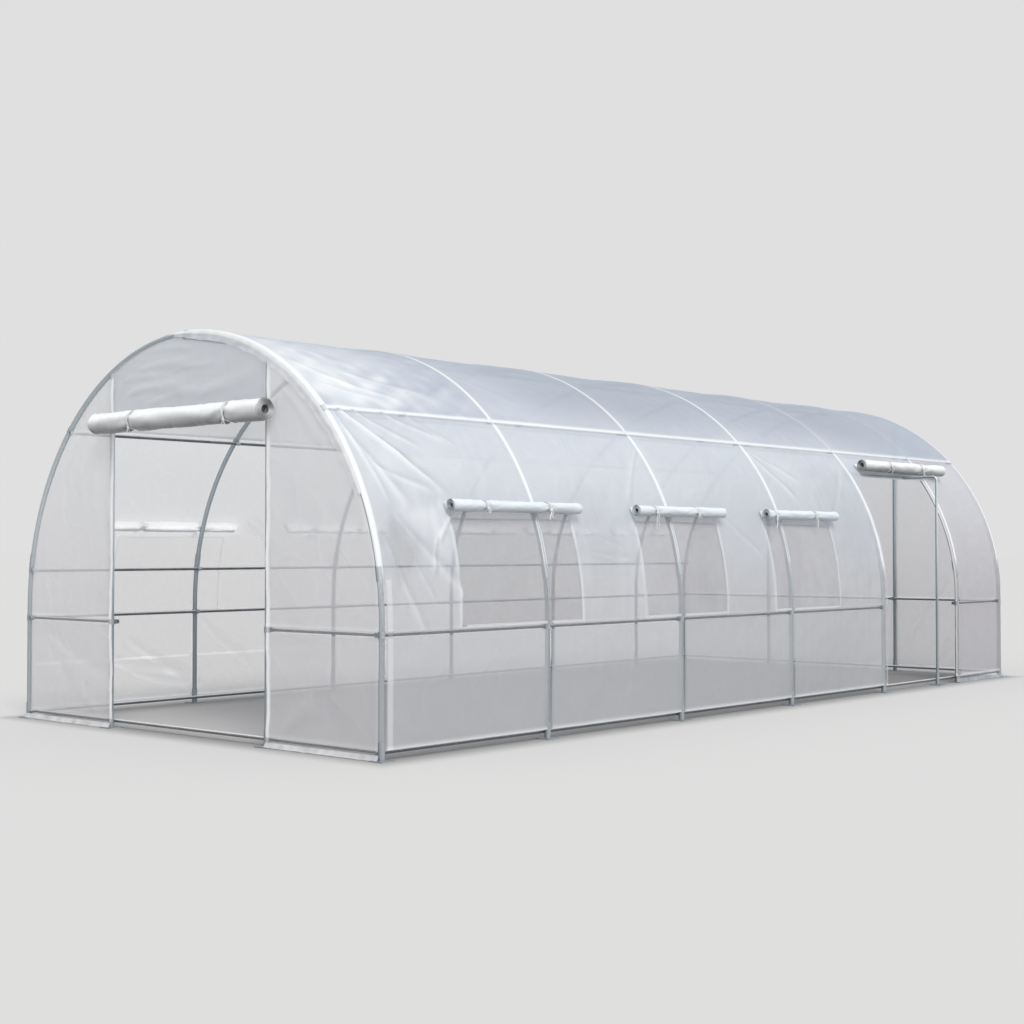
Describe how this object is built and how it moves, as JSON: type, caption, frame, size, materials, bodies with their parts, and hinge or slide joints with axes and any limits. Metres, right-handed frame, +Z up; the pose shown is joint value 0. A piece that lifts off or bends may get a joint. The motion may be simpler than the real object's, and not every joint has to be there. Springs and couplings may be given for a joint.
{
  "type": "polytunnel greenhouse",
  "caption": "Walk-in polytunnel greenhouse: round-topped galvanised tube frame under translucent film, with rolled-up film doors and windows and an open front doorway.",
  "frame": {"origin": "middle of the box round the whole tunnel, on the ground", "axes": "+Y along the tunnel from the front door to the back wall, +X to the right seen from the front door, +Z up"},
  "size_m": [3.09, 6.889, 2.1691],
  "materials": {
    "tube": "galvanised, spangled and satin",
    "fittings": "galvanised pressed steel",
    "film": "translucent polyethylene with a fine woven grid",
    "webbing": "white woven tape"
  },
  "bodies": {
    "root": {"back_film": "film", "back_post_feet": "fittings", "back_post_left": "tube", "back_post_right": "tube", "back_rail": "tube", "door_roll_ties": "webbing", "end_hoop": "tube", "end_rail_clamps": "fittings", "feet_left": "fittings", "feet_right": "fittings", "front_door_feet": "fittings", "front_door_post_left": "tube", "front_door_post_right": "tube", "front_door_roll": "film", "front_film_left": "film", "front_film_right": "film", "front_gable_film": "film", "front_hoop": "tube", "front_rail_left": "tube", "front_rail_right": "tube", "front_skirts": "film", "ground_rail_back": "tube", "ground_rail_front": "tube", "ground_rail_left": "tube", "ground_rail_right": "tube", "hoop_2": "tube", "hoop_3": "tube", "hoop_4": "tube", "hoop_5": "tube", "hoop_splices": "fittings", "left_film_lower": "film", "left_film_piers": "film", "left_film_upper": "film", "left_window_rolls": "film", "mid_rail_left": "tube", "purlin_clamps": "fittings", "purlin_left": "tube", "purlin_right": "tube", "ridge_purlin": "tube", "right_film_end": "film", "right_film_lower": "film", "right_film_piers": "film", "right_film_upper": "film", "right_window_rolls": "film", "roof_film": "film", "side_door_film_head": "film", "side_door_foot": "fittings", "side_door_header": "tube", "side_door_hoop": "tube", "side_door_post": "tube", "side_door_roll": "film", "side_end_skirt": "film", "side_rail_clamps": "fittings", "side_rail_left": "tube", "side_rail_right": "tube", "side_rail_right_end": "tube", "window_roll_ties": "webbing"}
  },
  "joints": []
}
